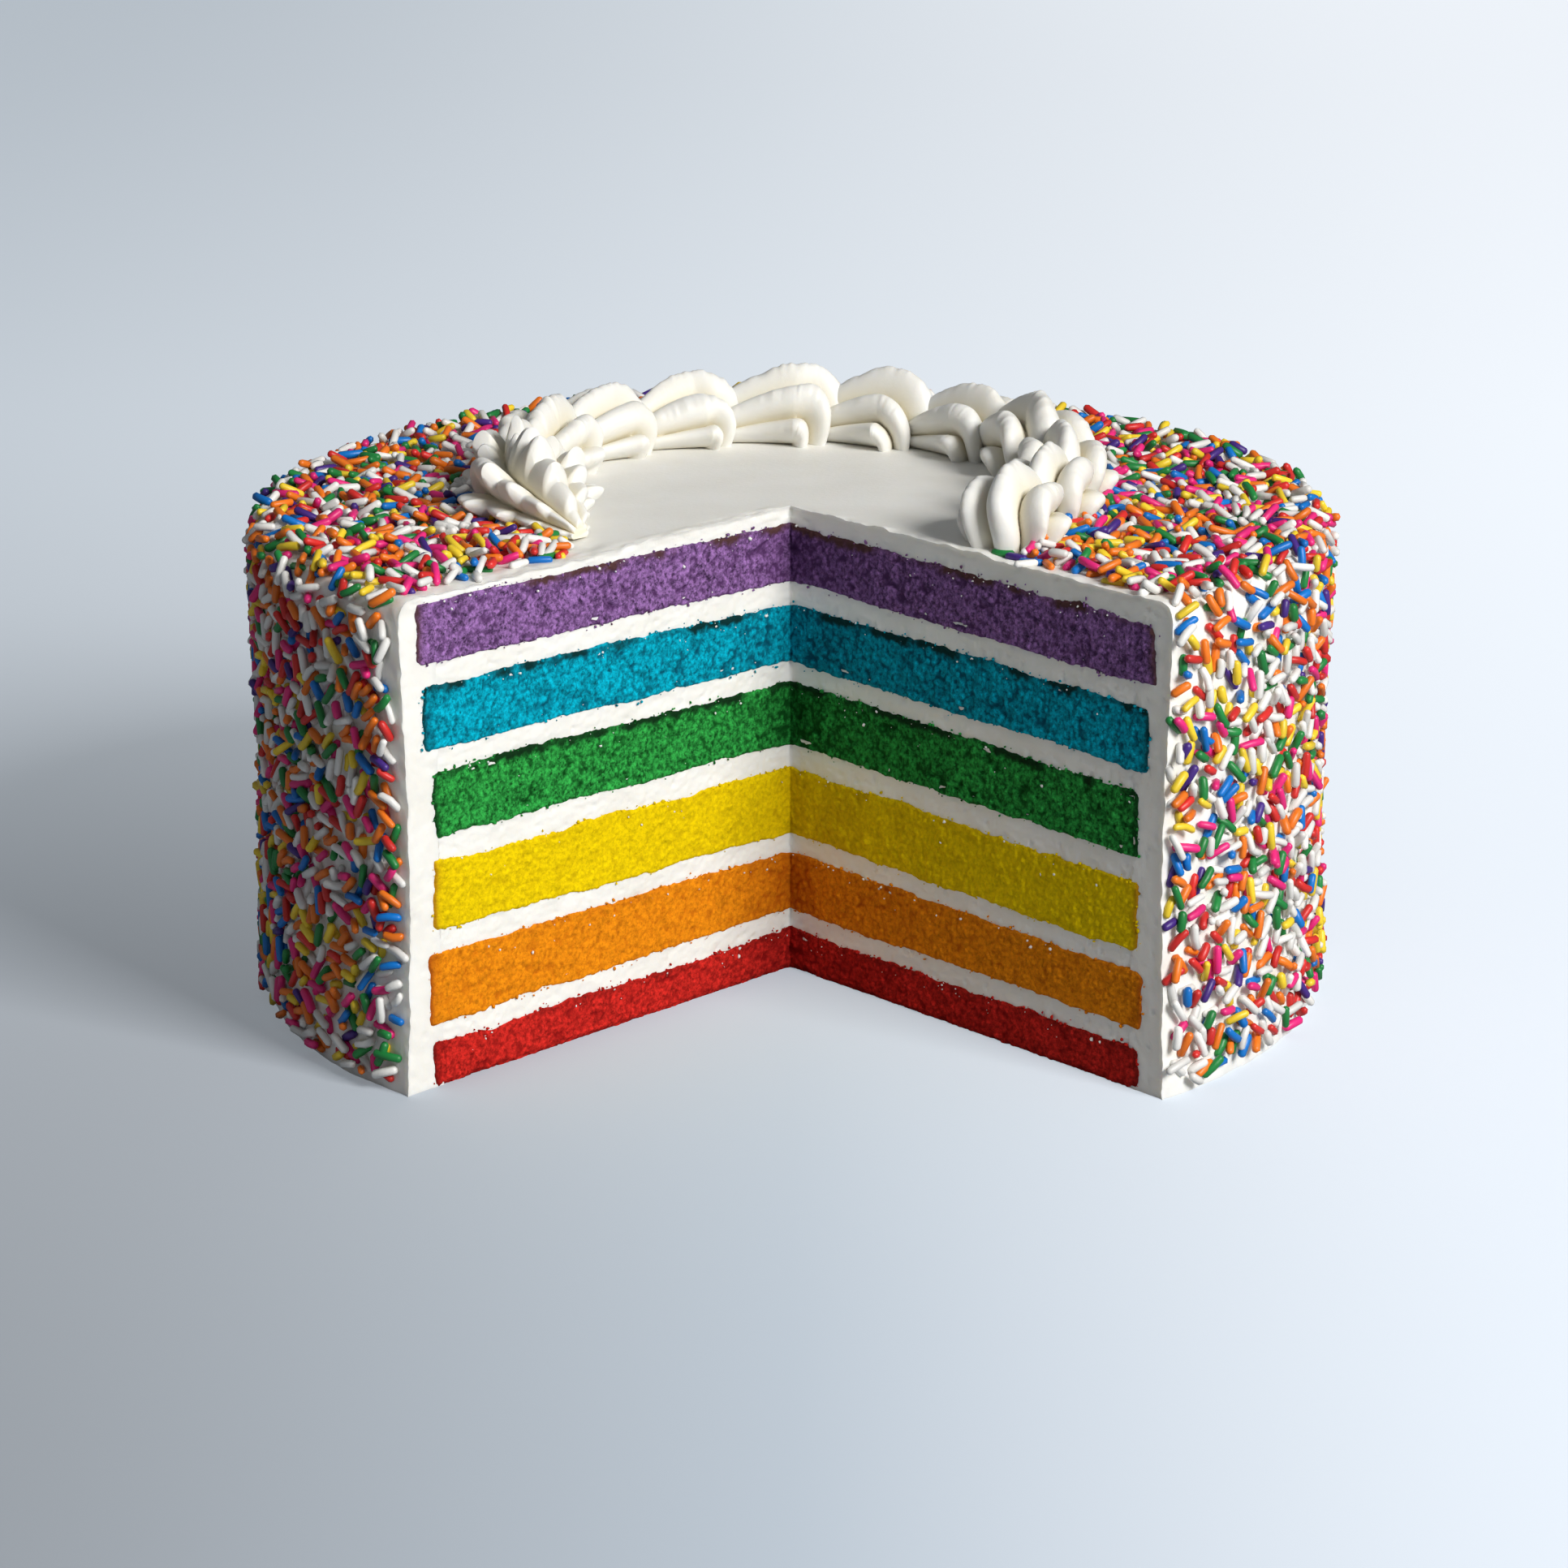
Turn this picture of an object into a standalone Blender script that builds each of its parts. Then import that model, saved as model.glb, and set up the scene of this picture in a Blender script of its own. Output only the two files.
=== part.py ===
"""Layer cake with a slice of about a quarter taken out: six coloured sponge rounds with buttercream
between them, one coat of buttercream over the top and side, and a ring of piped shells on the top.

Metres, +Z up. The cake stands on z = 0, the missing slice opens towards -Y, and the origin is the
middle of the bounding box's base, so that the cake's own axis stands a little in front of it.
"""

import math

import bmesh
import bpy
from mathutils import Matrix, Vector

MM = 0.001
GAP = 0.3 * MM  # left between pieces that touch

# The cut: how far each cut face turns from straight ahead, -Y
CUT_LEFT = math.radians(43.0)
CUT_RIGHT = math.radians(41.5)
SECTOR = 2 * math.pi - CUT_LEFT - CUT_RIGHT  # what is left of the round
STEPS = 45  # straight stretches round the sector

# The coat
COAT_RADIUS = 107.0 * MM
COAT_WAIST = 1.2 * MM  # how far the side draws in, two thirds of the way down
COAT_EDGE = 4.0 * MM  # radius of the top's rounded edge
COAT_TOP = 3.8 * MM  # thickness of the cream over the top sponge
WAIST_STEPS = 4
EDGE_STEPS = 3

# The sponge rounds from the bottom up: name, thickness, radius, colour
SPONGES = (
    ("sponge_red", 8.3 * MM, 99.5 * MM, (0.62, 0.03, 0.02)),
    ("sponge_orange", 11.9 * MM, 100.2 * MM, (0.85, 0.27, 0.01)),
    ("sponge_yellow", 13.3 * MM, 98.8 * MM, (0.80, 0.62, 0.00)),
    ("sponge_green", 12.5 * MM, 98.4 * MM, (0.04, 0.30, 0.05)),
    ("sponge_blue", 11.8 * MM, 100.8 * MM, (0.00, 0.36, 0.52)),
    ("sponge_violet", 11.4 * MM, 102.0 * MM, (0.28, 0.13, 0.38)),
)
RIM = 1.0 * MM  # bevel on a sponge round's outer edges
# The buttercream between them, from the bottom up
FILLINGS = (4.6 * MM, 4.7 * MM, 5.5 * MM, 4.8 * MM, 5.0 * MM)
LEAN = 0.027  # slope, down towards +X, of all that lies on the orange round, which is a wedge

# The ring of piped shells, laid anticlockwise seen from above
SHELLS = 12
RING_RADIUS = 55.0 * MM
RING_BACK = 8.5 * MM  # the ring's centre stands this far behind the cake's axis
RING_START = math.radians(-22.0)  # the line of shells runs straight up to here, then round the ring
FIRST_SHELL = -20.0 * MM  # the first head's place along that line, from where the round part starts
SHELL_PITCH = 21.2 * MM
SHELL_HALF_WIDTH = 9.2 * MM
SHELL_HEIGHT = 15.8 * MM
HEAD_LENGTH = 9.6 * MM  # from the top of the head to its front
TAIL_LENGTH = 19.0 * MM
TAIL_END = 0.22  # size of the tail's end, as a share of the head
LAST_WIDTH = 1.2  # the last shell is pressed out this much wider
BULGE = 0.36  # how much wider a shell is at half its height than a plain half round
FULLNESS = 0.1  # how far a head stands out half-way between its front and its top
FINS = 5  # ridges from one foot over the top to the other
GROOVE = 0.34  # depth of the grooves between them, as a share of the radius
HEAD_STEPS = 6
TAIL_STEPS = 5
CUTTER_SIDES = 24

CREAM = (0.80, 0.79, 0.72)

FRONT_REACH = COAT_RADIUS * math.cos(min(CUT_LEFT, CUT_RIGHT))
AXIS = Vector((0.0, (FRONT_REACH - COAT_RADIUS) / 2, 0.0))  # the cake's own axis
START = -math.pi / 2 + CUT_RIGHT  # azimuth of the right cut face
HEIGHT = sum(sponge[1] for sponge in SPONGES) + sum(FILLINGS) + COAT_TOP


def clear_scene():
    for obj in list(bpy.data.objects):
        bpy.data.objects.remove(obj, do_unlink=True)


def material(name, colour, roughness):
    """A plain surface of one colour."""
    made = bpy.data.materials.new(name)
    made.use_nodes = True
    shader = made.node_tree.nodes["Principled BSDF"]
    shader.inputs["Base Color"].default_value = (*colour, 1.0)
    shader.inputs["Roughness"].default_value = roughness
    shader.inputs["Metallic"].default_value = 0.0
    return made


def add_object(name, bm, surface):
    """The bmesh as an object in the scene, its faces turned outwards."""
    bm.normal_update()
    bmesh.ops.recalc_face_normals(bm, faces=bm.faces)
    mesh = bpy.data.meshes.new(name)
    bm.to_mesh(mesh)
    bm.free()
    mesh.materials.append(surface)
    mesh.shade_smooth()
    mesh.set_sharp_from_angle(angle=math.radians(35))
    obj = bpy.data.objects.new(name, mesh)
    bpy.context.scene.collection.objects.link(obj)
    return obj


def leaned(place):
    """Lowers a place inside the cake by the lean: none up to the orange round, all of it from that
    round's top to the violet round's, and none again on the cake's flat top."""
    heights = layer_heights()
    wedge_low, wedge_high = heights[1][0] + GAP, heights[1][1] - GAP
    top_low = heights[-1][1] + GAP
    rising = (place.z - wedge_low) / (wedge_high - wedge_low)
    falling = (HEIGHT - place.z) / (HEIGHT - top_low)
    share = min(max(rising, 0.0), 1.0, max(falling, 0.0))
    return Vector((place.x, place.y, place.z - LEAN * place.x * share))


def turned_sector(name, profile, surface):
    """Spins a closed (radius, height) outline about the cake's axis, from one cut face to the other,
    and gives all but the coat's outside its lean."""
    bm = bmesh.new()
    corners = [bm.verts.new((radius, 0.0, height)) for radius, height in profile]
    face = bm.faces.new(corners)
    turn = Matrix.Rotation(START, 4, "Z")
    bmesh.ops.transform(bm, matrix=turn, verts=bm.verts)
    bmesh.ops.spin(
        bm,
        geom=[face, *bm.verts, *bm.edges],
        axis=(0, 0, 1),
        cent=(0, 0, 0),
        angle=SECTOR,
        steps=STEPS,
    )
    bmesh.ops.remove_doubles(bm, verts=bm.verts, dist=0.01 * MM)
    for vert in bm.verts:
        if vert.co.xy.length < COAT_RADIUS - COAT_EDGE - GAP:
            vert.co = leaned(vert.co)
    bmesh.ops.translate(bm, verts=bm.verts, vec=AXIS)
    return add_object(name, bm, surface)


def layer_heights():
    """(bottom, top) of each sponge round."""
    heights = []
    bottom = 0.0
    for number, (_, thickness, _, _) in enumerate(SPONGES):
        heights.append((bottom, bottom + thickness))
        if number < len(FILLINGS):
            bottom += thickness + FILLINGS[number]
    return heights


def add_sponges(heights):
    """Each round's outline has its two outer corners taken off, and half a gap left above and below."""
    for (name, _, radius, colour), (bottom, top) in zip(SPONGES, heights):
        low = bottom + GAP / 2 if bottom > 0 else 0.0
        high = top - GAP / 2
        outline = [
            (0.0, low),
            (radius - RIM, low),
            (radius, low + RIM),
            (radius, high - RIM),
            (radius - RIM, high),
            (0.0, high),
        ]
        turned_sector(name, outline, material(name, colour, 0.9))


def filling_radius(number):
    """A filling reaches as far as the smaller of the two rounds that it joins."""
    return min(SPONGES[number][2], SPONGES[number + 1][2])


def add_fillings(heights, surface):
    for number in range(len(FILLINGS)):
        low = heights[number][1] + GAP / 2
        high = heights[number + 1][0] - GAP / 2
        radius = filling_radius(number)
        outline = [(0.0, low), (radius, low), (radius, high), (0.0, high)]
        turned_sector(f"filling_{number + 1}", outline, surface)


def coat_outline(heights):
    """The coat's outline: up the drawn-in side, round the edge, in to the axis, and down the steps inside."""
    wall_top = HEIGHT - COAT_EDGE
    outline = []
    for step in range(WAIST_STEPS + 1):
        height = wall_top * step / WAIST_STEPS
        draw = COAT_WAIST * math.sin(math.pi * step / WAIST_STEPS) ** 2
        outline.append((COAT_RADIUS - draw, height))
    for step in range(1, EDGE_STEPS + 1):
        turn = math.pi / 2 * step / EDGE_STEPS
        outline.append(
            (
                COAT_RADIUS - COAT_EDGE * (1 - math.cos(turn)),
                wall_top + COAT_EDGE * math.sin(turn),
            )
        )
    outline.append((0.0, HEIGHT))
    outline.append((0.0, heights[-1][1] + GAP / 2))
    for number in reversed(range(len(SPONGES))):
        radius = SPONGES[number][2] + GAP
        outline.append((radius, heights[number][1] + GAP / 2))
        outline.append((radius, heights[number][0] - (GAP / 2 if number else 0.0)))
        if number:
            inner = filling_radius(number - 1) + GAP
            if inner < radius - MM / 10:
                outline.append((inner, heights[number][0] - GAP / 2))
            if inner < SPONGES[number - 1][2] + GAP - MM / 10:
                outline.append((inner, heights[number - 1][1] + GAP / 2))
    return outline


def fin_radius(sample):
    """A groove at the even samples of the half round and a fin's edge at the odd ones."""
    return 1.0 if sample % 2 else 1.0 - GROOVE


def tail_size(share):
    """How big the shell is at a share of the way down its tail."""
    return 1.0 - (1.0 - TAIL_END) * share**1.7


def fullness(turn):
    """How much further out a head stands at an angle from its front up towards its top."""
    return 1.0 + FULLNESS * math.sin(2 * turn) ** 2


def bulged(along, across, up):
    """Pushes a half round out at half its height, so that it stands on a narrower foot."""
    swell = math.sin(math.pi * min(max(up / SHELL_HEIGHT, 0.0), 1.0))
    return (along * (1 + BULGE * swell / 2), across * (1 + BULGE * swell), up)


def shell_rings():
    """The shell's cross-sections from the front of the head to the end of the tail, as lists of
    (along, across, up). The head turns the ridged half round about the line through its two feet,
    and the tail carries it on while it shrinks."""
    samples = [math.pi * number / (2 * FINS) for number in range(2 * FINS + 1)]
    across = [SHELL_HALF_WIDTH * fin_radius(i) * math.cos(a) for i, a in enumerate(samples)]
    up = [SHELL_HEIGHT * fin_radius(i) * math.sin(a) for i, a in enumerate(samples)]
    front = HEAD_LENGTH / SHELL_HEIGHT
    rings = []
    for step in range(HEAD_STEPS + 1):
        turn = math.pi / 2 * step / HEAD_STEPS
        ahead = -front * math.cos(turn) * fullness(turn)
        rise = math.sin(turn) * fullness(turn)
        rings.append([(h * ahead, w, h * rise) for w, h in zip(across, up)])
    for step in range(1, TAIL_STEPS + 1):
        share = step / TAIL_STEPS
        size = tail_size(share)
        rings.append([(TAIL_LENGTH * share, w * size, h * size) for w, h in zip(across, up)])
    return [[bulged(*point) for point in ring] for ring in rings]


def ring_point(station, across, up):
    """A place on the line of shells: a straight stretch at stations below nought, then the ring."""
    angle = RING_START + max(station, 0.0) / RING_RADIUS
    reach = RING_RADIUS + across
    straight = min(station, 0.0)
    place = Vector((reach * math.cos(angle), reach * math.sin(angle), up))
    place += straight * Vector((-math.sin(RING_START), math.cos(RING_START), 0.0))
    return AXIS + Vector((0.0, RING_BACK, HEIGHT + GAP)) + place


def shell_scale(number):
    """(size, width) of each shell: a little uneven, as a piping bag lays them."""
    size = 1.0 + 0.05 * math.sin(2.3 * number + 0.7)
    return size, size * (LAST_WIDTH if number == SHELLS - 1 else 1.0)


def shell_mesh(number):
    """The ridged shell as a closed bmesh: the first ring lies flat as the head's foot, the others
    arch from foot to foot, and one face closes the tail."""
    size, width = shell_scale(number)
    station = FIRST_SHELL + SHELL_PITCH * number
    bm = bmesh.new()
    rows = []
    for step, ring in enumerate(shell_rings()):
        row = [
            bm.verts.new(ring_point(station + along * size, across * width, up * size))
            for along, across, up in ring
        ]
        if 0 < step <= HEAD_STEPS:
            # every head section ends in the same two feet
            row[0] = rows[0][0]
            row[-1] = rows[0][-1]
        rows.append(row)
    for near, far in zip(rows, rows[1:]):
        for i in range(len(near) - 1):
            corners = []
            for corner in (near[i], near[i + 1], far[i + 1], far[i]):
                if corner not in corners:
                    corners.append(corner)
            bm.faces.new(corners)
    bm.faces.new(rows[-1])
    feet = rows[HEAD_STEPS:]
    bm.faces.new([*rows[0], *[row[-1] for row in feet[1:]], *[row[0] for row in feet[:0:-1]]])
    loose = [vert for vert in bm.verts if not vert.link_faces]
    bmesh.ops.delete(bm, geom=loose, context="VERTS")
    return bm


def head_cutter(number):
    """A smooth egg, swollen and bent along the line like the shells, that clears a head's ridges."""
    size, width = shell_scale(number)
    station = FIRST_SHELL + SHELL_PITCH * number
    bm = bmesh.new()
    bmesh.ops.create_uvsphere(bm, u_segments=CUTTER_SIDES, v_segments=CUTTER_SIDES // 2, radius=1.0)
    grown = 1.0 / math.cos(math.pi / CUTTER_SIDES)
    for vert in bm.verts:
        full = fullness(math.atan2(vert.co.z, vert.co.x))
        along, across, up = bulged(
            vert.co.x * full * (HEAD_LENGTH * grown + GAP),
            vert.co.y * (SHELL_HALF_WIDTH * grown + GAP),
            vert.co.z * full * (SHELL_HEIGHT * grown + GAP),
        )
        vert.co = ring_point(station + along * size, across * width, up * size)
    cutter = add_object(f"cutter_{number + 1:02d}", bm, None)
    cutter.hide_render = True
    cutter.display_type = "WIRE"
    return cutter


def add_shells(surface):
    """Each head lands on the tail before it, so each tail is scooped out under the next head."""
    for number in range(SHELLS):
        shell = add_object(f"shell_{number + 1:02d}", shell_mesh(number), surface)
        if number + 1 < SHELLS:
            scoop = shell.modifiers.new("scoop", "BOOLEAN")
            scoop.operation = "DIFFERENCE"
            scoop.object = head_cutter(number + 1)


def main():
    clear_scene()
    cream = material("buttercream", CREAM, 0.5)
    piped = material("piped_cream", CREAM, 0.45)
    heights = layer_heights()
    add_sponges(heights)
    add_fillings(heights, cream)
    turned_sector("coat", coat_outline(heights), cream)
    add_shells(piped)


main()
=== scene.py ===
"""A rainbow layer cake with a slice taken out: crumb, buttercream, piped shells and sugar strands,
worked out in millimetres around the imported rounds, fillings, coat and shells."""

import math

import bmesh
import bpy
import numpy as np
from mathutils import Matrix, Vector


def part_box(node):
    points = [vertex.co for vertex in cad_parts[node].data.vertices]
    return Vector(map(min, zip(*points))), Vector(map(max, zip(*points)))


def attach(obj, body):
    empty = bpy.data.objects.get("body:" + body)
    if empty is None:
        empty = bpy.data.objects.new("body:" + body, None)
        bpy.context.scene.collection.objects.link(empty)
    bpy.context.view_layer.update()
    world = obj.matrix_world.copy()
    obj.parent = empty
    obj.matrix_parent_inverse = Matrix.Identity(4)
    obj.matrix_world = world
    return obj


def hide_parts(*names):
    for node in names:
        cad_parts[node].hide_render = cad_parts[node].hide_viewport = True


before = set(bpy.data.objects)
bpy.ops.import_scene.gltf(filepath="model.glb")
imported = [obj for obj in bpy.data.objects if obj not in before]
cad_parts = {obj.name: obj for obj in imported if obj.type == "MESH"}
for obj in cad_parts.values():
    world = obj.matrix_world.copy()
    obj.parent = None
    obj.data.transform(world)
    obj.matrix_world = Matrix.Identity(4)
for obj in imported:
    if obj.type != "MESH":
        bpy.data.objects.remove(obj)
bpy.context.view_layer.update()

MM = 0.001
# The sponge rounds from the bottom up: thickness and radius, and the buttercream between them
SPONGES = {
    "sponge_red": (8.3, 99.5),
    "sponge_orange": (11.9, 100.2),
    "sponge_yellow": (13.3, 98.8),
    "sponge_green": (12.5, 98.4),
    "sponge_blue": (11.8, 100.8),
    "sponge_violet": (11.4, 102.0),
}
FILLINGS = (4.6, 4.7, 5.5, 4.8, 5.0)
LEAN = 0.027  # slope, down towards +X, of all that lies on the orange round


def box_mm(node):
    """A node's lowest and highest corner in millimetres."""
    low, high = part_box(node)
    return np.array(low) / MM, np.array(high) / MM


# The cake's own measures, taken from the frame
COAT_LOW, COAT_HIGH = box_mm("coat")
RADIUS = (COAT_HIGH[0] - COAT_LOW[0]) / 2
TOP = COAT_HIGH[2]
AXIS = np.array([0.0, COAT_HIGH[1] - RADIUS])

# The cut faces, as angles either side of straight ahead
CUT_LEFT = math.radians(43.0)
CUT_RIGHT = math.radians(41.5)
START = -math.pi / 2 + CUT_RIGHT
SECTOR = 2 * math.pi - CUT_LEFT - CUT_RIGHT
ALONG_LEFT = np.array([-math.sin(CUT_LEFT), -math.cos(CUT_LEFT)])
ALONG_RIGHT = np.array([math.sin(CUT_RIGHT), -math.cos(CUT_RIGHT)])
OUT_LEFT = np.array([math.cos(CUT_LEFT), -math.sin(CUT_LEFT)])
OUT_RIGHT = np.array([-math.cos(CUT_RIGHT), -math.sin(CUT_RIGHT)])

CRUMB_STEP = 0.30  # spacing of the crumb's mesh on the cut faces
CREAM_STEP = 0.45  # spacing of the fillings' mesh along the cut
WALL_STEPS = 48  # flats of the hidden wall round the back of a round or a filling
CRUMB_ROUNDING = 1.5  # radius of the crumb's corners on the cut faces
CRUMB_SINK = 1.3  # the crumb's edges drop this far, to behind the cream
CREAM_LEVEL = -0.30  # the cut cream lies this far behind the cut crumb
OVERLAP = 1.0  # cream runs this far behind the edges of the crumb
MARGIN = 1.0  # the crumb's mesh runs this far past its mean edges, behind the cream
INSET = 0.45  # the crumb dips behind the cream this far inside its edges
COAT_EDGE = 4.0  # radius of the coat's rounded top edge
COAT_WAIST = 1.2  # the side draws in this far at its middle
COAT_SINK = 0.5  # the bare coat lies this far inside the strands' mean surface
BAND_INNER = 97.4  # where the coat's cut band starts, behind the rounds' outer ends

# The ring of piped shells
SHELLS = 12
RING_RADIUS = 55.0
RING_CENTRE = AXIS + np.array([0.0, 8.5])
RING_START = math.radians(-22.0)  # where the line of shells turns from straight to round
FIRST_SHELL = -20.0  # the first shell's place along that line
SHELL_PITCH = 21.2
SHELL_HALF_WIDTH = 9.5
SHELL_HEIGHT = 15.8
HEAD_LENGTH = 9.9
TAIL_LENGTH = 20.0
TAIL_END = 0.2  # the tail's tip, as a share of the head
BULGE = 0.36  # the shell swells past its foot by this share half-way up
FULLNESS = 0.1  # the head's front stands out by this share
FINS = 5
FIN_DEPTH = 0.42  # depth of the grooves between the fins, as a share of the height
RUFFLE = 0.36  # how far the last shells' petals stand out, as a share of the height
FRAY = 0.024  # how ragged the fins' tops are, as a share of the height

# How much of each round's top edge is browned or darkened
CRUSTED = {
    "sponge_red": 0.5,
    "sponge_orange": 0.3,
    "sponge_yellow": 0.15,
    "sponge_green": 1.0,
    "sponge_blue": 1.1,
    "sponge_violet": 1.0,
}


# -------------------- patterns in numbers


def smoothstep(low, high, x):
    """0 below low, 1 above high, and an S-shaped cubic between them."""
    share = np.clip((x - low) / (high - low), 0.0, 1.0)
    return share * share * (3.0 - 2.0 * share)


def cell_number(cells, seed):
    """A number from 0 to 1 for each whole-numbered cell: large odd multiples, folded together."""
    mixed = cells[..., 0] * 73856093 + cells[..., 1] * 19349663 + cells[..., 2] * 83492791
    mixed = (mixed + seed * 40503) & 0xFFFFFFFF
    mixed = ((mixed ^ (mixed >> 15)) * 73244475) & 0xFFFFFFFF
    mixed = ((mixed ^ (mixed >> 13)) * 195225786) & 0xFFFFFFFF
    return ((mixed ^ (mixed >> 16)) & 0xFFFFFF) / float(0xFFFFFF)


def noise(points, size, seed):
    """Smooth noise from -1 to 1: the eight corners' numbers of each cell of this size, blended
    with quintic weights."""
    scaled = np.asarray(points, float) / size
    base = np.floor(scaled)
    share = scaled - base
    weight = share**3 * (share * (share * 6 - 15) + 10)
    base = base.astype(np.int64)
    total = np.zeros(scaled.shape[:-1])
    for dx in (0, 1):
        for dy in (0, 1):
            for dz in (0, 1):
                corner = cell_number(base + np.array([dx, dy, dz]), seed)
                blend = (weight[..., 0] if dx else 1 - weight[..., 0]) * (
                    weight[..., 1] if dy else 1 - weight[..., 1]
                )
                total += corner * blend * (weight[..., 2] if dz else 1 - weight[..., 2])
    return total * 2 - 1


def layered(points, size, seed, octaves=3):
    """Noise added to itself at half the size and half the strength, again and again."""
    total = np.zeros(np.shape(points)[:-1])
    for octave in range(octaves):
        total += noise(points, size / 2**octave, seed + 17 * octave) / 2**octave
    return total / 1.5


def cells(points, size, seed, chance=1.0):
    """Distance to the nearest of the points strewn one to a cell, in cells; a cell has its point
    only by this chance. Also gives the nearest point's own number."""
    scaled = np.asarray(points, float) / size
    base = np.floor(scaled).astype(np.int64)
    nearest = np.full(scaled.shape[:-1], 2.0)
    owner = np.zeros(scaled.shape[:-1])
    for dx in (-1, 0, 1):
        for dy in (-1, 0, 1):
            for dz in (-1, 0, 1):
                cell = base + np.array([dx, dy, dz])
                spot = np.stack([cell_number(cell, seed + k) for k in (1, 2, 3)], -1) + cell
                number = cell_number(cell, seed + 9)
                gap = np.linalg.norm(spot - scaled, axis=-1)
                gap = np.where(number < chance, gap, 2.0)
                closer = gap < nearest
                owner = np.where(closer, cell_number(cell, seed + 4), owner)
                nearest = np.where(closer, gap, nearest)
    return nearest, owner


def along_line(positions, size, seed, octaves=3):
    """Noise along a line."""
    points = np.stack([positions, np.zeros_like(positions), np.zeros_like(positions)], -1)
    return layered(points + 0.37, size, seed, octaves)


def layer_heights():
    """(bottom, top) of each sponge round before the lean."""
    heights, bottom = [], 0.0
    for number, (thickness, _) in enumerate(SPONGES.values()):
        heights.append((bottom, bottom + thickness))
        bottom += thickness + (FILLINGS[number] if number < len(FILLINGS) else 0.0)
    return heights


HEIGHTS = layer_heights()


def lean_share(height):
    """How much of the lean there is at a height: none up to the orange round, all of it from that
    round's top to the violet round's, and none again on the cake's flat top."""
    knots = [HEIGHTS[1][0], HEIGHTS[1][1], HEIGHTS[-1][1], TOP]
    return np.interp(height, knots, [0.0, 1.0, 1.0, 0.0])


def leaned(points):
    """The points lowered by the lean: height - LEAN * x * share."""
    moved = np.array(points, float)
    moved[..., 2] -= LEAN * moved[..., 0] * lean_share(moved[..., 2])
    return moved


# -------------------- meshes


def grid_faces(rows, columns, start=0, flip=False):
    """The quads of a grid of rows x columns vertices, numbered row by row from start."""
    row, column = np.meshgrid(np.arange(rows - 1), np.arange(columns - 1), indexing="ij")
    corner = start + row * columns + column
    quads = np.stack([corner, corner + columns, corner + columns + 1, corner + 1], -1)
    quads = quads.reshape(-1, 4)
    return quads[:, ::-1] if flip else quads


def make_mesh(name, points, groups, values=None):
    """A mesh in metres from points in millimetres and groups of faces: each group is an array of
    (faces x corners), or one face's corners. A float attribute holds each named array of values."""
    groups = [np.atleast_2d(group) for group in groups]
    corners = np.concatenate([group.ravel() for group in groups])
    sizes = np.concatenate([np.full(len(group), group.shape[1]) for group in groups])
    mesh = bpy.data.meshes.new(name)
    mesh.vertices.add(len(points))
    mesh.vertices.foreach_set("co", (np.asarray(points) * MM).astype(np.float32).ravel())
    mesh.loops.add(len(corners))
    mesh.loops.foreach_set("vertex_index", corners.astype(np.int32))
    mesh.polygons.add(len(sizes))
    starts = np.concatenate([[0], np.cumsum(sizes)[:-1]])
    mesh.polygons.foreach_set("loop_start", starts.astype(np.int32))
    mesh.update(calc_edges=True)
    for key, array in (values or {}).items():
        made = mesh.attributes.new(key, "FLOAT", "POINT")
        made.data.foreach_set("value", np.asarray(array, np.float32).ravel())
    mesh.validate()
    return mesh


def link(name, data):
    """A new object with this data in the scene."""
    made = bpy.data.objects.new(name, data)
    bpy.context.scene.collection.objects.link(made)
    return made


def add_piece(name, mesh, surface, sharp=80.0):
    """The mesh as an object, its doubled vertices welded, its faces outwards and smooth."""
    shape = bmesh.new()
    shape.from_mesh(mesh)
    bmesh.ops.remove_doubles(shape, verts=shape.verts, dist=1e-6)
    bmesh.ops.recalc_face_normals(shape, faces=shape.faces)
    shape.to_mesh(mesh)
    shape.free()
    mesh.shade_smooth()
    mesh.set_sharp_from_angle(angle=math.radians(sharp))
    mesh.materials.append(surface)
    return link(name, mesh)


def place(piece, nodes, slot):
    """The piece rides on the cake and stands for these nodes, which are hidden. The slot is not used.
    """
    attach(piece, "root")
    if nodes:
        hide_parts(*nodes)


# -------------------- materials


def start_material(name, roughness, specular=0.5):
    """A new material with its node tree and its shader."""
    made = bpy.data.materials.new(name)
    made.use_nodes = True
    tree = made.node_tree
    shader = tree.nodes["Principled BSDF"]
    shader.inputs["Roughness"].default_value = roughness
    shader.inputs["Specular IOR Level"].default_value = specular
    return made, tree, shader


def node(tree, kind, **settings):
    """A node of this kind; a setting that names an input sets its value, any other a property."""
    made = tree.nodes.new(kind)
    for key, value in settings.items():
        label = key.replace("_", " ").title() if key[0].islower() else key
        if label in made.inputs:
            made.inputs[label].default_value = value
        else:
            setattr(made, key, value)
    return made


def object_noise(tree, scale, detail=3.0, roughness=0.6):
    """Noise on the piece's own coordinates; the output is its factor."""
    place_node = node(tree, "ShaderNodeTexCoord")
    grain = node(tree, "ShaderNodeTexNoise", scale=scale, detail=detail, roughness=roughness)
    tree.links.new(place_node.outputs["Object"], grain.inputs["Vector"])
    return grain.outputs["Fac"]


def attribute(tree, key):
    """A float attribute of the mesh."""
    made = node(tree, "ShaderNodeAttribute", attribute_name=key)
    return made.outputs["Fac"]


def ramp(tree, source, stops):
    """A colour ramp with the given (position, colour) stops."""
    made = node(tree, "ShaderNodeValToRGB")
    band = made.color_ramp
    while len(band.elements) > 1:
        band.elements.remove(band.elements[0])
    band.elements[0].position = stops[0][0]
    band.elements[0].color = (*stops[0][1], 1.0)
    for position, colour in stops[1:]:
        band.elements.new(position).color = (*colour, 1.0)
    tree.links.new(source, made.inputs["Fac"])
    return made.outputs["Color"]


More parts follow.
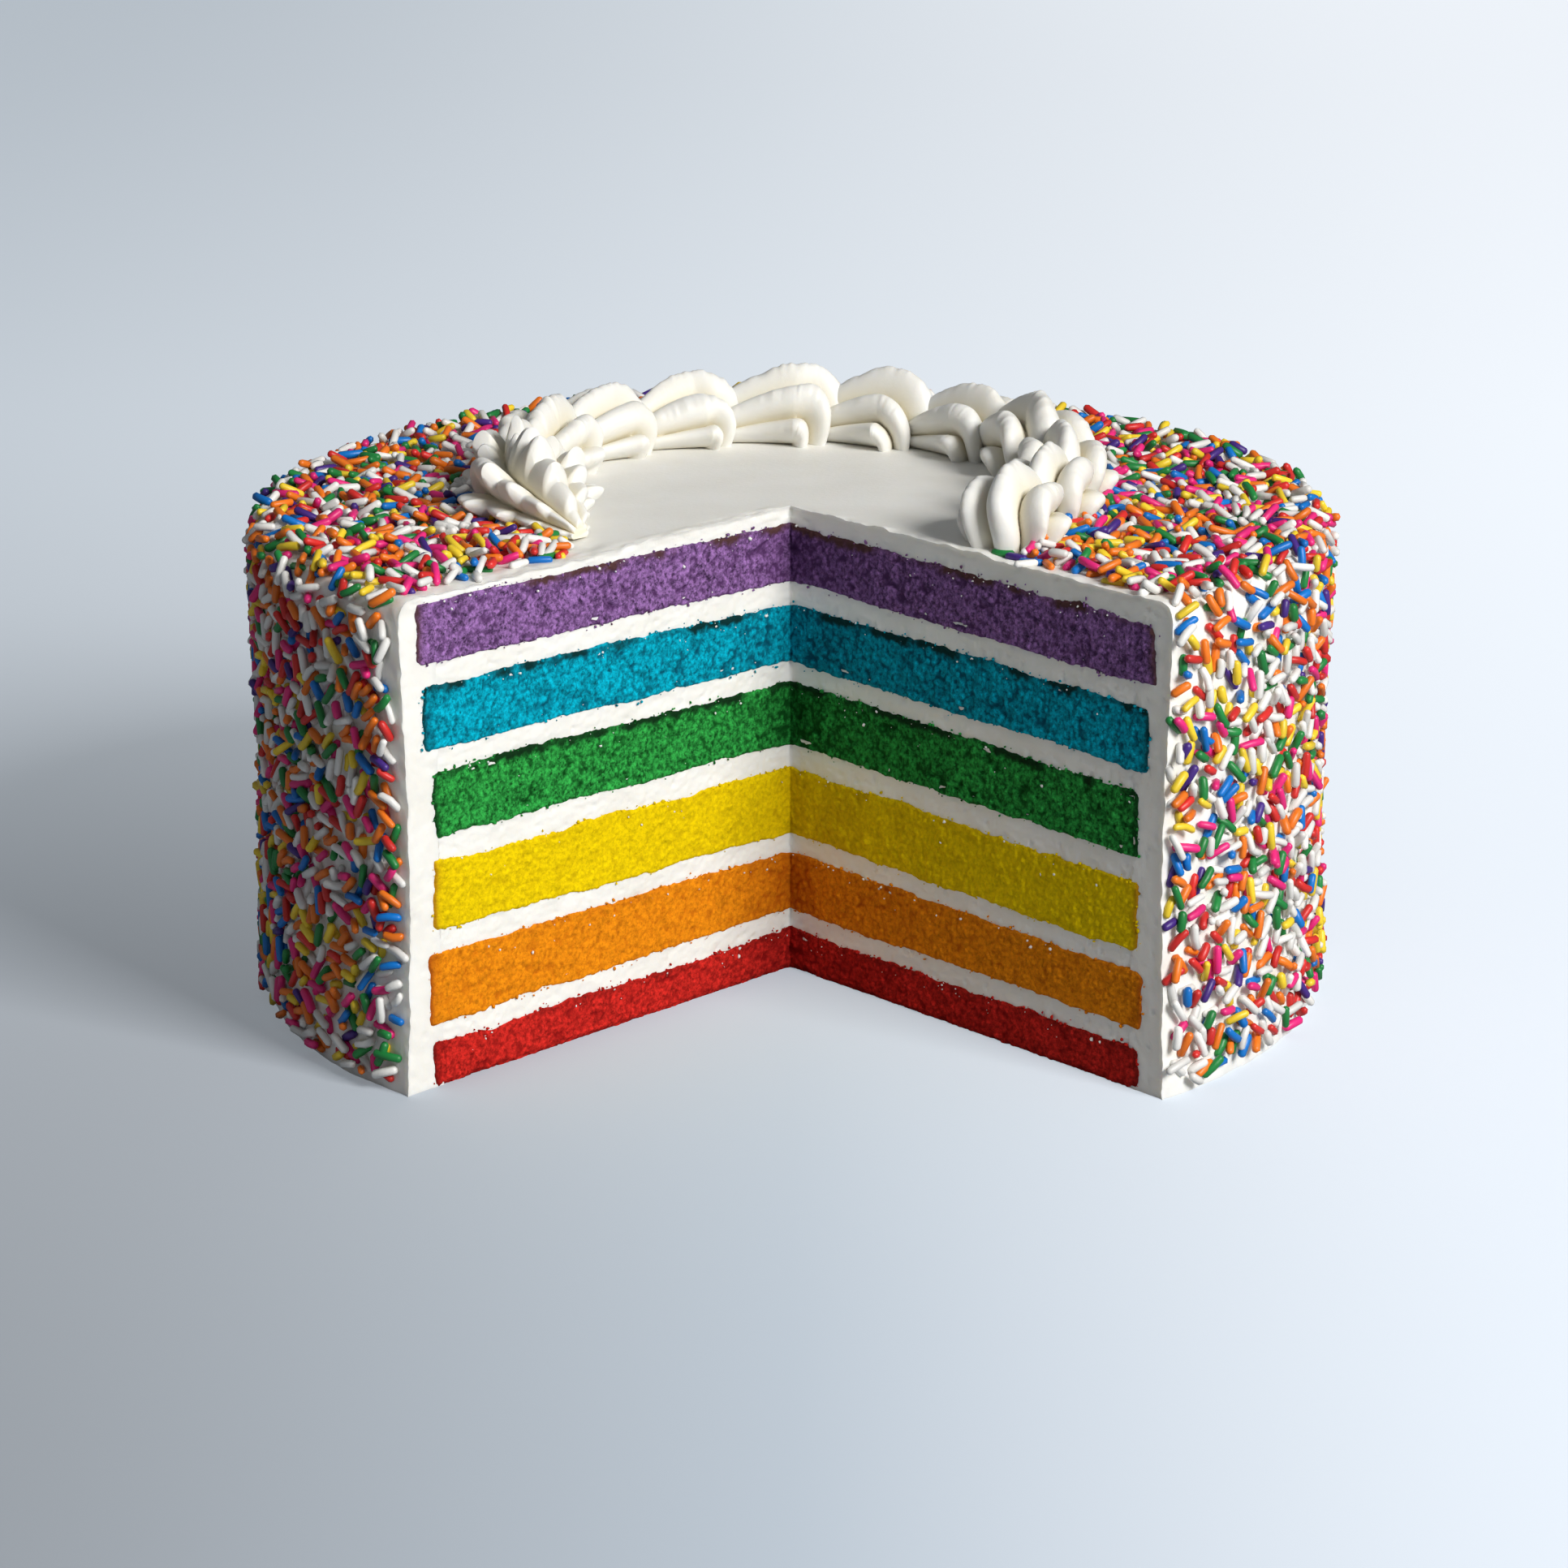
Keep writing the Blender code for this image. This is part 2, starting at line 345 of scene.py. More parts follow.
def mixed(tree, share, first, second, blend="MIX"):
    """Two colours mixed by a share, which is a socket or a number."""
    made = node(tree, "ShaderNodeMix", data_type="RGBA", blend_type=blend)
    for socket, value in ((made.inputs[0], share), (made.inputs[6], first), (made.inputs[7], second)):
        if isinstance(value, bpy.types.NodeSocket):
            tree.links.new(value, socket)
        elif isinstance(value, tuple):
            socket.default_value = (*value, 1.0)
        else:
            socket.default_value = value
    return made.outputs[2]


def roughen(tree, shader, source, strength, distance):
    """A bump from the source, in metres of height."""
    bump = node(tree, "ShaderNodeBump", strength=strength, distance=distance)
    tree.links.new(source, bump.inputs["Height"])
    tree.links.new(bump.outputs["Normal"], shader.inputs["Normal"])


def scaled(colour, factor):
    """The colour made lighter or darker by a factor, up to white."""
    return tuple(min(1.0, channel * factor) for channel in colour)


def crumb_material(name, colour, deep, crust, contrast):
    """Sponge: grains a little lighter and darker, painted shade of the deep colour in the pores and
    towards the apex of the cut, and a baked crust.
    """
    made, tree, shader = start_material(name, 0.9, 0.06)
    dark, light = max(0.2, 1.0 - 0.6 * contrast), 1.0 + 0.45 * contrast
    fine = ramp(
        tree,
        object_noise(tree, 1150.0, 3.0, 0.75),
        [(0.34, scaled(colour, dark)), (0.50, colour), (0.66, scaled(colour, light))],
    )
    shade = max(0.35, 1.0 - 0.45 * contrast)
    clumps = ramp(
        tree,
        object_noise(tree, 330.0, 4.0, 0.7),
        [(0.36, (shade,) * 3), (0.47, (0.95, 0.95, 0.95)), (0.62, (1.0, 1.0, 1.0))],
    )
    body = mixed(tree, 1.0, fine, clumps, "MULTIPLY")
    # painted shade: the deep colour in the pores and towards the apex of the cut
    shaded_crumb = mixed(tree, attribute(tree, "painted_shade"), body, deep)
    crusted = mixed(tree, attribute(tree, "crust"), shaded_crumb, crust)
    tree.links.new(crusted, shader.inputs["Base Color"])
    roughen(tree, shader, object_noise(tree, 2000.0, 4.0, 0.75), 0.8, 0.0004)
    return made


# the painted shade in the grooves between the shells' fins, darker and yellower than the cream
GROOVE_SHADE = (0.76, 0.69, 0.50)


def cream_material(name, colour, shade, roughness, bump):
    """Buttercream: soft, a little translucent, faintly yellower in broad patches, with painted shade,
    darker and yellower, in the grooves of the piped shells.
    """
    made, tree, shader = start_material(name, roughness, 0.35)
    patches = ramp(tree, object_noise(tree, 60.0, 3.0), [(0.35, shade), (0.65, colour)])
    # painted shade, deepest at the bottom of each groove between the fins
    groove_shade = ramp(tree, attribute(tree, "groove_shade"), [(0.15, (0.0,) * 3), (0.9, (0.75,) * 3)])
    warmed = mixed(tree, groove_shade, patches, GROOVE_SHADE)
    tree.links.new(warmed, shader.inputs["Base Color"])
    shader.inputs["Subsurface Weight"].default_value = 0.25
    shader.inputs["Subsurface Radius"].default_value = (1.0, 0.8, 0.55)
    shader.inputs["Subsurface Scale"].default_value = 0.003
    roughen(tree, shader, object_noise(tree, 900.0, 4.0, 0.65), bump, 0.0002)
    return made


def strand_material(name, colour):
    """A sugar strand: each a little lighter or darker, dull with a faint shine, slightly uneven."""
    made, tree, shader = start_material(name, 0.42, 0.45)
    tone = ramp(
        tree, attribute(tree, "tone"), [(0.0, scaled(colour, 0.72)), (1.0, scaled(colour, 1.12))]
    )
    dusty = mixed(tree, object_noise(tree, 800.0, 2.0), tone, scaled(colour, 0.85))
    tree.links.new(dusty, shader.inputs["Base Color"])
    roughen(tree, shader, object_noise(tree, 1300.0, 2.0), 0.25, 0.0002)
    return made


# -------------------- the cut


def cut_line(reach, step):
    """Stations along a line that runs in along the left cut face to the axis and out along the
    right one: the signed distance from the axis, the place in plan, and the direction out of the
    face, turned smoothly through the corner."""
    count = int(round(reach / step))
    distance = np.linspace(-reach, reach, 2 * count + 1)
    left = distance[:, None] < 0
    plan = AXIS + np.abs(distance)[:, None] * np.where(left, ALONG_LEFT, ALONG_RIGHT)
    turn = smoothstep(-0.8, 0.8, distance)[:, None]
    out = OUT_LEFT * (1 - turn) + OUT_RIGHT * turn
    return distance, plan, out


def cream_relief(points):
    """How far the knife's drag lifts and sinks cut cream: long soft waves, ripples, small pits."""
    stretched = points * np.array([1.0, 1.0, 2.4])
    waves = 0.12 * layered(stretched, 9.0, 301, 2) + 0.15 * layered(stretched, 2.4, 302, 3)
    gap, _ = cells(points, 2.4, 303, 0.4)
    pits = -0.35 * smoothstep(0.30, 0.10, gap)
    return waves + pits + 0.09 * noise(points, 0.8, 304)


def crumb_relief(points, seed, contrast):
    """Open crumb: soft clumps, grains with pores between them, fissures round the clumps, and a few
    larger holes. Also gives the painted shade in the pores, from 0 to 1: how deep in the pores each
    point lies."""
    clumps = 0.26 * layered(points, 3.0, seed, 2)
    gap, owner = cells(points, 1.1, seed + 40)
    grains = 0.40 * (0.5 - gap) + 0.25 * (owner - 0.5)
    fine = 0.16 * noise(points, 0.55, seed + 41)
    wide_gap, wide_owner = cells(points * np.array([1.0, 1.0, 1.3]), 2.7, seed + 42)
    patchy = smoothstep(-0.5, 0.6, layered(points, 5.0, seed + 44, 2))
    fissures = smoothstep(0.60, 0.86, wide_gap) * patchy
    holes = smoothstep(0.22, 0.04, wide_gap) * (wide_owner < 0.16)
    relief = clumps + grains + fine - contrast * (0.75 * fissures + 0.8 * holes)
    # painted shade: the deep colour in fissures, holes and the gaps between grains
    painted_shade = 0.7 * fissures + 0.8 * holes + 0.75 * smoothstep(0.52, 0.85, gap) - 0.6 * fine
    return relief, np.clip(min(contrast, 1.0) * painted_shade, 0, 1)


def sector_solid(sheet, wall_steps, reach):
    """Closes a sheet of (stations x rows) points that follows the cut into a solid: a wall round
    the back with the same rows, and one face each for its top and bottom."""
    stations, rows = sheet.shape[:2]
    turn = START + SECTOR * np.linspace(0.0, 1.0, wall_steps + 1)
    wall = np.empty((wall_steps + 1, rows, 3))
    wall[..., :2] = (AXIS + reach * np.stack([np.cos(turn), np.sin(turn)], -1))[:, None, :]
    share = np.linspace(0.0, 1.0, wall_steps + 1)[:, None]
    wall[..., 2] = sheet[-1, :, 2] * (1 - share) + sheet[0, :, 2] * share
    wall[0] = sheet[-1]
    wall[-1] = sheet[0]
    points = np.concatenate([sheet.reshape(-1, 3), wall.reshape(-1, 3)])
    offset = stations * rows
    groups = [grid_faces(stations, rows), grid_faces(wall_steps + 1, rows, offset)]
    for row in (0, rows - 1):
        front = np.arange(stations) * rows + row
        back = offset + np.arange(1, wall_steps) * rows + row
        loop = np.concatenate([front, back])
        groups.append(loop[::-1] if row else loop)
    return points, groups


def rounded_depth(distances, radius):
    """The depth inside several edges at once: the least distance, with the corners rounded off."""
    short = [np.clip(radius - distance, 0.0, None) for distance in distances]
    return radius - np.sqrt(sum(s**2 for s in short))


def edge_lines(number, distance):
    """The wavy lower and upper edge of a sponge round, at each distance along the cut."""
    low, high = HEIGHTS[number]
    seed = 100 * (number + 1)
    upper = high + 0.5 * along_line(distance, 17.0, seed + 1)
    upper += 0.26 * along_line(distance, 3.2, seed + 2, 2)
    lower = low + 0.4 * along_line(distance, 14.0, seed + 3)
    lower += 0.20 * along_line(distance, 2.8, seed + 4, 2)
    return lower, upper


def add_sponge(name, number, surface, contrast):
    """A sponge round: its cut face is a sheet over (distance from the axis, height) with wavy upper
    and lower edges, thrown into crumb, and sunk behind the cream within a millimetre of them."""
    low, high = HEIGHTS[number]
    reach = SPONGES[name][1]
    seed = 100 * (number + 1)
    standing = number == 0
    distance, plan, out = cut_line(reach + 0.8, CRUMB_STEP)
    edge_low, edge_top = edge_lines(number, distance)
    bottom = np.zeros_like(distance) if standing else edge_low - MARGIN
    rows = int(round((high - low + 2 * MARGIN) / CRUMB_STEP)) + 1
    share = np.linspace(0.0, 1.0, rows)
    height = bottom[:, None] + (edge_top + MARGIN - bottom)[:, None] * share
    base = np.empty((len(distance), rows, 3))
    base[..., :2] = plan[:, None, :]
    base[..., 2] = height
    ragged = 0.36 * layered(base, 1.7, seed + 5, 3) + INSET
    end = reach - np.abs(distance)[:, None] + 0.5 * noise(base, 4.0, seed + 6) + ragged
    from_top = edge_top[:, None] - height + ragged
    from_low = height - edge_low[:, None] + ragged
    edges = [from_top, end] if standing else [from_top, from_low, end]
    depth = rounded_depth(edges, CRUMB_ROUNDING)
    relief, painted_shade = crumb_relief(base, seed, contrast)
    raised = np.maximum(relief, 0.0) * smoothstep(-0.3, 0.7, depth)
    lowered = np.minimum(relief, 0.0) * smoothstep(0.6, 2.4, depth)
    sunk = CRUMB_SINK * smoothstep(0.45, -0.45, depth)
    if standing:
        sunk = np.maximum(sunk, 0.6 * smoothstep(1.2, 0.0, height))
    sheet = base.copy()
    sheet[..., :2] += out[:, None, :] * (raised + lowered - sunk)[..., None]
    patch = smoothstep(-0.35, 0.35, layered(base * np.array([1.0, 1.0, 0.3]), 9.0, seed + 7))
    heavier = 0.25 * (distance[:, None] > 0)
    patch = np.clip(patch + heavier, 0.0, 1.0)
    band = 0.15 + 0.7 * patch * CRUSTED[name] + 0.9 * layered(base, 1.2, seed + 8, 2)
    crust = CRUSTED[name] * patch * smoothstep(band + 0.9, band - 0.4, from_top - INSET)
    crust += 0.9 * np.exp(-np.clip(end - INSET, 0, None) / 0.8)
    points, groups = sector_solid(sheet, WALL_STEPS, reach)
    extra = len(points) - sheet.shape[0] * sheet.shape[1]
    # painted shade: the crumb darkens towards the apex where the cut faces meet, fading over about 13
    # mm on the left face and 45 mm on the right, added to the painted shade in the pores
    far = np.where(distance < 0, 13.0, 45.0)[:, None]
    painted_apex_shade = np.exp(-np.abs(distance)[:, None] / far) * np.ones_like(painted_shade)
    painted_shade = painted_shade + 0.42 * painted_apex_shade * (0.6 + 0.8 * patch)
    values = {
        "painted_shade": np.concatenate([np.clip(painted_shade, 0, 1).ravel(), np.zeros(extra)]),
        "crust": np.concatenate([np.clip(crust, 0, 1).ravel(), np.ones(extra)]),
    }
    mesh = make_mesh(name + "_crumb", leaned(points), groups, values)
    place(add_piece(name + "_crumb", mesh, surface), [name], name)


def add_filling(name, number, surface):
    """A filling: a sheet of cut cream just behind the crumb, which runs on behind the rounds above
    and below it, closed into a solid."""
    low, high = HEIGHTS[number - 1][1], HEIGHTS[number][0]
    reach = BAND_INNER + 1.6
    distance, plan, out = cut_line(reach, CREAM_STEP)
    rows = int(round((high - low + 2 * OVERLAP) / 0.40)) + 1
    height = np.linspace(low - OVERLAP - 0.3, high + OVERLAP + 0.3, rows)
    base = np.empty((len(distance), rows, 3))
    base[..., :2] = plan[:, None, :]
    base[..., 2] = height
    under_band = 0.2 * smoothstep(BAND_INNER - 2.0, BAND_INNER, np.abs(distance))[:, None]
    offset = CREAM_LEVEL + cream_relief(base) - under_band
    sheet = base.copy()
    sheet[..., :2] += out[:, None, :] * offset[..., None]
    points, groups = sector_solid(sheet, WALL_STEPS, reach)
    mesh = make_mesh(name + "_cream", leaned(points), groups)
    place(add_piece(name + "_cream", mesh, surface), [name], "buttercream")


# -------------------- loose crumbs

CRUMBS = 230  # of each round
SPECKS = 260  # of cream, on all the rounds together


def crumb_cloud(name, places, sizes, values, random):
    """Crumbs, all at once: balls of 80 triangles whose points are pushed in and out by up to a
    third, squashed, and turned each its own way."""
    shape = bmesh.new()
    bmesh.ops.create_icosphere(shape, subdivisions=1, radius=1.0)
    ball = np.array([vert.co[:] for vert in shape.verts])
    corners = np.array([[vert.index for vert in face.verts] for face in shape.faces])
    shape.free()
    count = len(places)
    radii = sizes[:, None] * random.uniform(0.68, 1.25, (count, len(ball)))
    squash = random.uniform(0.6, 1.2, (count, 1, 3))
    turn, _ = np.linalg.qr(random.normal(size=(count, 3, 3)))
    points = (ball[None] * squash * radii[..., None]) @ turn + places[:, None, :]
    faces = (corners[None] + len(ball) * np.arange(count)[:, None, None]).reshape(-1, 3)
    each = {key: np.repeat(array, len(ball)) for key, array in values.items()}
    return make_mesh(name, leaned(points.reshape(-1, 3)), [faces], each)


def cut_place(distance, height, lift):
    """Places on the cut at signed distances from the axis, heights, and lifts off the face."""
    left = distance[:, None] < 0
    plan = AXIS + np.abs(distance)[:, None] * np.where(left, ALONG_LEFT, ALONG_RIGHT)
    plan = plan + lift[:, None] * np.where(left, OUT_LEFT, OUT_RIGHT)
    return np.column_stack([plan, height])


def crumb_sizes(count, random):
    """Radii from a seventh of a millimetre up; large ones are rare."""
    return 0.14 + 0.34 * random.random(count) ** 3


def add_crumbs(surfaces, cream):
    """Crumbs of each sponge round dragged over the cream along its edges, and specks of cream on
    the crumb."""
    random = np.random.default_rng(31)
    for number, (name, (_, reach)) in enumerate(SPONGES.items()):
        count = CRUMBS
        distance = random.uniform(-reach, reach, count)
        lower, upper = edge_lines(number, distance)
        away = np.abs(random.normal(0.0, 0.45, count))
        above = random.random(count) < (1.0 if number == 0 else 0.65)
        height = np.where(above, upper + away, lower - away)
        at_end = random.random(count) < 0.06
        distance = np.where(at_end, np.sign(distance) * (reach + away), distance)
        height = np.where(at_end, random.uniform(*HEIGHTS[number], count), height)
        sizes = crumb_sizes(count, random)
        crust = CRUSTED[name] * 0.5 * random.random(count) ** 2
        lift = CREAM_LEVEL + 0.1 + 0.3 * sizes
        # each loose crumb is darkened at random, by up to a quarter, towards the round's painted shade
        # colour
        values = {"painted_shade": 0.25 * random.random(count), "crust": crust}
        places = cut_place(distance, height, lift)
        piece_name = name.replace("sponge", "crumbs")
        mesh = crumb_cloud(piece_name, places, sizes, values, random)
        place(add_piece(piece_name, mesh, surfaces[name]), [], name)
    count = SPECKS
    rounds = random.integers(0, len(SPONGES), count)
    low, high = np.array(HEIGHTS)[rounds].T
    side = random.random(count)
    height = low + (high - low) * np.where(side < 0.6, 1 - 0.25 * random.random(count) ** 2, side)
    distance = random.uniform(-97.0, 97.0, count)
    sizes = crumb_sizes(count, random) * 0.85
    places = cut_place(distance, height, 0.05 + 0.2 * sizes)
    mesh = crumb_cloud("specks_of_cream", places, sizes, {}, random)
    place(add_piece("specks_of_cream", mesh, cream), [], "buttercream")


# -------------------- the coat


def coat_profile(along):
    """The coat's outer outline at a distance along it from the axis: out over the flat top, round
    the edge as a quarter circle, and down the side, which draws in at its middle. Gives the radius,
    the height, and the outward direction (radial, upward)."""
    flat = RADIUS - COAT_EDGE
    arc = COAT_EDGE * math.pi / 2
    turn = np.clip((along - flat) / COAT_EDGE, 0.0, math.pi / 2)
    down = np.clip(along - flat - arc, 0.0, None)
    wall = TOP - COAT_EDGE
    radius = np.minimum(along, flat) + COAT_EDGE * np.sin(turn)
    radius = radius - COAT_WAIST * np.sin(math.pi * np.clip(down / wall, 0, 1)) ** 2
    height = TOP - COAT_EDGE * (1 - np.cos(turn)) - down
    return radius, height, np.sin(turn), np.cos(turn)


PROFILE_LENGTH = RADIUS - COAT_EDGE + COAT_EDGE * math.pi / 2 + TOP - COAT_EDGE


def coat_point(along, azimuth, lift):
    """The place in space at a distance along the outline, an azimuth, and a lift off the surface."""
    radius, height, radial, upward = coat_profile(along)
    radius = radius + lift * radial
    return np.stack(
        [
            AXIS[0] + radius * np.cos(azimuth),
            AXIS[1] + radius * np.sin(azimuth),
            height + lift * upward,
        ],
        -1,
    )


def coat_lift(along, azimuth):
    """The coat's unevenness: palette-knife waves and lumps on the side, nearly flat on top inside the
    ring of shells, and smoothed towards the cut and the middle of the top."""
    bare = coat_point(along, azimuth, 0.0)
    side = smoothstep(RADIUS - 3 * COAT_EDGE, RADIUS, along)
    outside = off_line(bare[..., 0], bare[..., 1])
    pool = smoothstep(2.0, -4.0, outside) * (1 - side)
    rough = 0.45 * layered(bare, 13.0, 501, 3) + 0.28 * layered(bare, 3.6, 502, 2)
    calm = 0.10 * layered(bare * np.array([1.0, 0.4, 1.0]), 22.0, 503, 2)
    to_cut = np.minimum(azimuth - START, START + SECTOR - azimuth) * np.clip(along, 0, RADIUS)
    near_cut = 1 - 0.4 * smoothstep(7.0, 1.0, to_cut)
    lumps = 0.75 * layered(bare, 2.8, 504, 3) * smoothstep(3.5, 0.3, to_cut)
    lift = (rough - COAT_SINK) * (1 - pool) + calm * pool
    top_sink = -0.25 * (1 - pool) * (1 - side)
    return (lift + top_sink + lumps) * near_cut * smoothstep(0.0, 6.0, along)


def behind_crumb(places):
    """1 where a place on the cut lies well behind the crumb of a round, else 0."""
    radius = np.hypot(places[..., 0] - AXIS[0], places[..., 1] - AXIS[1])
    height = places[..., 2] + LEAN * places[..., 0] * lean_share(places[..., 2])
    total = np.zeros(radius.shape)
    for (low, high), (_, reach) in zip(HEIGHTS, SPONGES.values()):
        level = smoothstep(low + 0.6, low + 1.6, height) * smoothstep(high - 0.6, high - 1.6, height)
        total = np.maximum(total, level * smoothstep(reach - 0.8, reach - 2.0, radius))
    return total


def add_coat(surface):
    """The coat: an outer sheet over (distance along the outline, azimuth), two cut bands ruled from
    it to the line behind the rounds, a plain inner sheet, and one flat face at the foot."""
    rows, columns, across, inner_steps = 261, 321, 17, 24
    along = PROFILE_LENGTH * np.linspace(0.0, 1.0, rows) ** 0.94
    even = np.linspace(0.0, 1.0, columns)
    azimuth = START + SECTOR * (even - 0.75 * np.sin(2 * math.pi * even) / (2 * math.pi))
    s, a = np.meshgrid(along, azimuth, indexing="ij")
    outer = coat_point(s, a, coat_lift(s, a))
    outer[-1, :, 2] = 0.0

    inner_top = HEIGHTS[-1][1] - OVERLAP
    radius, height, _, _ = coat_profile(along)
    inner_radius = np.minimum(radius * BAND_INNER / (RADIUS - COAT_EDGE), BAND_INNER)
    inner_height = np.minimum(height, inner_top)
    inner_height[-1] = 0.0

    def inner_line(angle):
        line = np.empty((rows, 3))
        line[:, 0] = AXIS[0] + inner_radius * math.cos(angle)
        line[:, 1] = AXIS[1] + inner_radius * math.sin(angle)
        line[:, 2] = inner_height
        return leaned(line)

    share = np.linspace(0.0, 1.0, across)[:, None]
    parts = [(outer, False)]
    middle = (OUT_LEFT + OUT_RIGHT) / 2
    for angle, edge, out, flip in (
        (START, outer[:, 0], OUT_RIGHT, True),
        (START + SECTOR, outer[:, -1], OUT_LEFT, False),
    ):
        line = inner_line(angle)
        band = edge[:, None, :] * (1 - share) + line[:, None, :] * share
        gap = np.linalg.norm(band - band[:, :1], axis=-1)
        fade = smoothstep(0.0, 0.7, gap)
        offset = (CREAM_LEVEL + cream_relief(band) - 1.2 * behind_crumb(band)) * fade
        corner = smoothstep(0.0, 0.8, np.linalg.norm(band[..., :2] - AXIS, axis=-1))[..., None]
        direction = middle * (1 - corner) + out * corner
        band[..., :2] += direction * offset[..., None]
        parts.append((band, flip))
    right, left = parts[1][0], parts[2][0]
    inner = np.stack(
        [inner_line(START + SECTOR * k / inner_steps) for k in range(inner_steps + 1)], 1
    )
    inner[:, 0] = right[:, -1]
    inner[:, -1] = left[:, -1]
    parts.append((inner, True))

    points, groups, starts = [], [], []
    count = 0
    for part, flip in parts:
        starts.append(count)
        groups.append(grid_faces(part.shape[0], part.shape[1], count, flip))
        points.append(part.reshape(-1, 3))
        count += part.shape[0] * part.shape[1]
    last = [start + part.shape[1] * (rows - 1) for start, (part, _) in zip(starts, parts)]
    foot = np.concatenate(
        [
            last[0] + np.arange(columns),
            last[2] + np.arange(1, across),
            last[3] + np.arange(inner_steps - 1, 0, -1),
            last[1] + np.arange(across - 1, 0, -1),
        ]
    )
    groups.append(foot)
    mesh = make_mesh("coat_cream", np.concatenate(points), groups)
    place(add_piece("coat_cream", mesh, surface), ["coat"], "buttercream")


# -------------------- the piped shells


def shell_sheet(number, size, width, lean, twist, ruffle):
    """One shell as (sections x samples) points in its own (along, across, up): a half star of five
    fins turned about the line through its feet, from below the front to upright, and then carried
    back while it shrinks to the tail. Half-way up it swells past its foot. The fins wander and
    differ in height; ruffles make them stand out and drop back, saw-like, along the tail."""
    samples = FINS * 24 + 1
    around = np.linspace(0.0, math.pi, samples)
    head = np.linspace(math.radians(-12.0), math.pi / 2, 44)
    tail = np.linspace(0.0, 1.0, 60)[1:]
    t, a = np.meshgrid(np.concatenate([head, math.pi / 2 + tail]), around, indexing="ij")
    turn = np.minimum(t, math.pi / 2)
    back = np.clip(t - math.pi / 2, 0.0, 1.0)
    own = np.full_like(t, 7.3 * number)
    sway = 0.12 * noise(np.stack([t, a, own], -1), 0.9, 601) + twist * (t - 1.2)
    phase = FINS * (a + 0.10 * np.sin(2 * a) + sway * np.sin(a))
    fin = np.abs(np.sin(phase))
    which = np.floor(phase / math.pi)
    pick = cell_number(np.stack([which, 0 * which, own], -1).astype(np.int64), 602)
    tall = 0.12 * (pick - 0.5)
    deep = FIN_DEPTH * (1 - 0.3 * back)
    crest = fin ** (0.72 + 1.3 * ruffle)
    tear = noise(np.stack([t * 9.0, which * 3.1, own], -1), 1.0, 603)
    tear += 0.6 * noise(np.stack([t * 24.0, which * 3.1, own], -1), 1.0, 604)
    high = np.sin(np.clip(turn, 0.0, None)) * np.sin(a)
    petals = 3.8 * back + pick * 1.7
    saw = petals - np.floor(petals)
    step = saw * smoothstep(1.0, 0.90, saw)
    star = 1.0 - deep * (1.0 - crest) + tall * np.sin(a) + FRAY * fin**6 * tear * high
    star += ruffle * fin**1.5 * (step - 0.35) * smoothstep(0.02, 0.12, back)
    star += 0.02 * noise(np.stack([t * 2.0, a * 3.0, own], -1), 1.0, 605)
    shrink = 1.0 - (1.0 - TAIL_END) * back ** (0.85 + 0.85 * np.sin(a) ** 2)
    reach = star * size * shrink
    across = SHELL_HALF_WIDTH * width * reach * np.cos(a)
    height = SHELL_HEIGHT * reach * np.sin(a)
    full = 1.0 + FULLNESS * np.sin(2 * np.clip(turn, 0.0, None)) ** 2
    along = -height * HEAD_LENGTH / SHELL_HEIGHT * np.cos(turn) * full
    along = along + TAIL_LENGTH * size * back
    up = height * np.sin(turn) * full
    swell = np.sin(math.pi * np.clip(up / (SHELL_HEIGHT * size), 0.0, 1.0))
    along = along * (1 + BULGE * swell / 2 * (1 - back)) + lean * up * (1 - back)
    # the second value is the painted shade in the grooves between the fins, 1 at a groove's bottom
    return np.stack([along, across * (1 + BULGE * swell), up], -1), 1.0 - crest


def line_place(station, local):
    """Bends a shell's own (along, across, up) along the line of shells from its station: straight
    at stations below nought, then anticlockwise round the ring."""
    place = station + local[..., 0]
    angle = RING_START + np.maximum(place, 0.0) / RING_RADIUS
    reach = RING_RADIUS + local[..., 1]
    straight = np.minimum(place, 0.0)
    return np.stack(
        [
            RING_CENTRE[0] + reach * np.cos(angle) - straight * math.sin(RING_START),
            RING_CENTRE[1] + reach * np.sin(angle) + straight * math.cos(RING_START),
            TOP + local[..., 2],
        ],
        -1,
    )


def off_line(x, y):
    """Signed distance outwards from the middle of the line of shells."""
    x, y = x - RING_CENTRE[0], y - RING_CENTRE[1]
    ahead = -x * math.sin(RING_START) + y * math.cos(RING_START)
    beside = x * math.cos(RING_START) + y * math.sin(RING_START)
    round_part = np.hypot(x, y)
    return np.where((ahead < 0) & (x > 0), beside, round_part) - RING_RADIUS


def add_shells(surface):
    """The line of shells, each a little different in size, width, lean and twist."""
    random = np.random.default_rng(12)
    for number in range(SHELLS):
        size = 1.0 + 0.05 * math.sin(2.3 * number + 0.7)
        width = random.uniform(0.95, 1.06) * (1.2 if number == SHELLS - 1 else 1.0)
        lean = random.uniform(-0.10, 0.05)
        twist = random.uniform(-0.08, 0.08)
        ruffle = RUFFLE * float(smoothstep(8.5, 10.0, number))
        local, groove_shade = shell_sheet(number, size, width, lean, twist, ruffle)
        sheet = line_place(FIRST_SHELL + SHELL_PITCH * number, local)
        sections, samples = sheet.shape[:2]
        first = np.arange(samples)
        left = np.arange(sections - 1) * samples
        foot = np.stack([left + samples - 1, left + 2 * samples - 1, left + samples, left], -1)
        last = ((sections - 1) * samples + first)[::-1]
        groups = [grid_faces(sections, samples), foot, first, last]
        name = f"shell_{number + 1:02d}"
        mesh = make_mesh(name + "_cream", sheet.reshape(-1, 3), groups, {"groove_shade": groove_shade})
        place(add_piece(name + "_cream", mesh, surface, 70.0), [name], "piped_cream")


# -------------------- sugar strands

